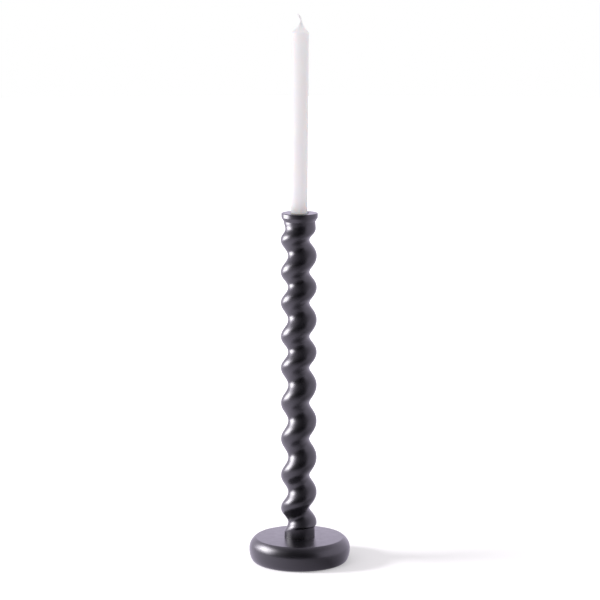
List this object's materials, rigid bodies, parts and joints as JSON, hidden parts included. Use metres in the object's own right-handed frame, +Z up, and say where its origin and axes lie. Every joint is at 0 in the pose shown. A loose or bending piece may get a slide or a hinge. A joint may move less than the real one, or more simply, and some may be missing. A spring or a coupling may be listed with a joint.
{
  "type": "candle holder",
  "caption": "Tall candle holder with a stem twisted in a tight right-handed spiral on a thick round base, with a flared cup and a removable dinner candle.",
  "frame": {"origin": "centre of the underside, on the surface that the holder stands on", "axes": "+Z up along the stem and the candle; -Y towards the viewer of the picture and +X to the right there, so that the wick leans to -X"},
  "size_m": [0.1338, 0.1338, 0.7251],
  "materials": {
    "black_enamel": "satin",
    "zinc_steel": "satin",
    "felt": "matte",
    "wax": "satin",
    "wick": "matte"
  },
  "bodies": {
    "holder": {"base": "black_enamel", "twisted_stem": "black_enamel", "candle_cup": "black_enamel", "tie_rod": "zinc_steel", "base_washer": "zinc_steel", "spring_washer": "zinc_steel", "base_nut": "zinc_steel", "felt_pad": "felt"},
    "candle": {"candle_wax": "wax", "candle_wick": "wick"}
  },
  "joints": [
    {"name": "candle_lift", "type": "slide", "parent": "holder", "child": "candle", "axis": [0, 0, 1], "range_m": [0, 0.035]}
  ]
}
